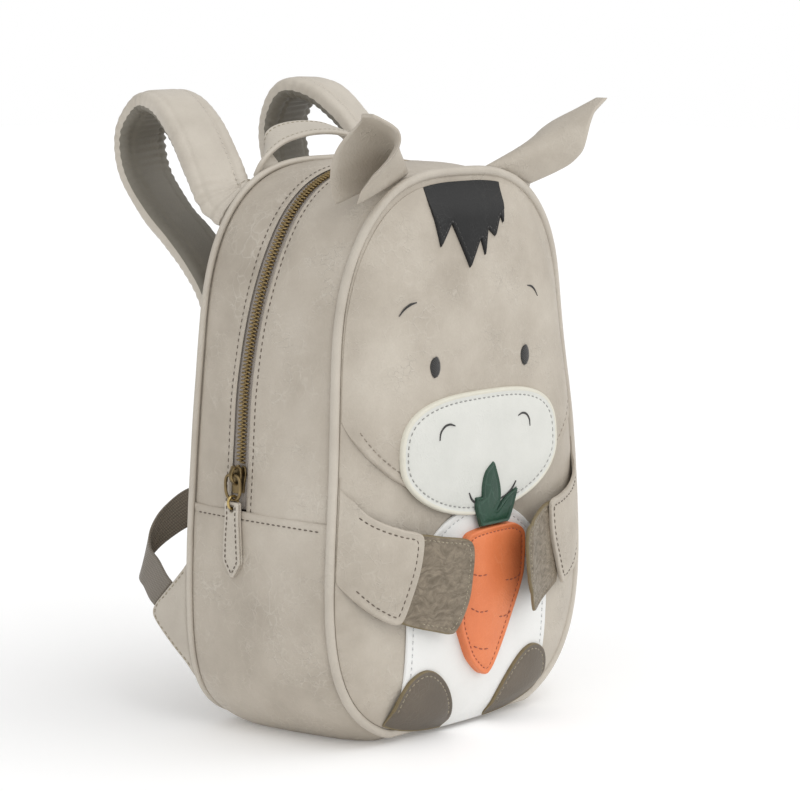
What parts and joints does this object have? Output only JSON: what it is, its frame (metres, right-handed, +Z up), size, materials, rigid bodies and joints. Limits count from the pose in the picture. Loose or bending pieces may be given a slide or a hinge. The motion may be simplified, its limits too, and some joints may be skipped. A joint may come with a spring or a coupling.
{
  "type": "kids animal backpack",
  "caption": "Small hollow backpack shaped like a donkey: domed face, ears, arms holding a carrot, zipped side band, handle and padded shoulder straps.",
  "frame": {"origin": "middle of the flat base, on the floor", "axes": "+Z up, -Y towards the face side, +Y towards the wearer's back, +X towards the side without the zip pull"},
  "size_m": [0.2321, 0.2621, 0.3738],
  "materials": {
    "taupe_leather": "soft taupe imitation leather, satin, faint mottling",
    "pale_leather": "pale grey-white imitation leather, satin",
    "brown_leather": "grained brown imitation leather",
    "orange_leather": "orange imitation leather, satin",
    "green_leather": "dark green imitation leather",
    "black_leather": "black imitation leather, slight gloss",
    "black_thread": "black embroidery thread",
    "zip_tape": "woven zip tape, pinkish grey",
    "webbing": "ribbed woven webbing, taupe brown",
    "adjuster_plastic": "matte brown plastic",
    "antique_brass": "antique brass, worn bright on the edges"
  },
  "bodies": {
    "bag": {"front_panel": "taupe_leather", "face_panel": "taupe_leather", "muzzle": "pale_leather", "belly": "pale_leather", "carrot": "orange_leather", "carrot_leaves": "green_leather", "mane": "black_leather", "eye_left": "black_thread", "foot_left": "brown_leather", "arm_left": "taupe_leather", "hand_left": "brown_leather", "eye_right": "black_thread", "foot_right": "brown_leather", "arm_right": "taupe_leather", "hand_right": "brown_leather", "gusset_front": "taupe_leather", "gusset_rear": "taupe_leather", "zip_tape": "zip_tape", "zip_teeth": "antique_brass", "gusset_bottom": "taupe_leather", "back_panel": "taupe_leather", "front_piping": "taupe_leather", "back_piping": "taupe_leather", "handle": "taupe_leather", "ear_left": "taupe_leather", "wing_left": "taupe_leather", "strap_left": "taupe_leather", "adjuster_left": "adjuster_plastic", "webbing_left": "webbing", "ear_right": "taupe_leather", "wing_right": "taupe_leather", "strap_right": "taupe_leather", "adjuster_right": "adjuster_plastic", "webbing_right": "webbing", "zip_slider": "antique_brass"},
    "zip_pull": {"pull_ring": "antique_brass", "pull_link": "antique_brass", "pull_tab": "taupe_leather"}
  },
  "joints": [
    {"name": "zip_pull_hinge", "type": "hinge", "parent": "bag", "child": "zip_pull", "pos_m": [-0.1127, 0.01614, 0.155], "axis": [0, 1, 0], "range_deg": [0, 150]}
  ]
}
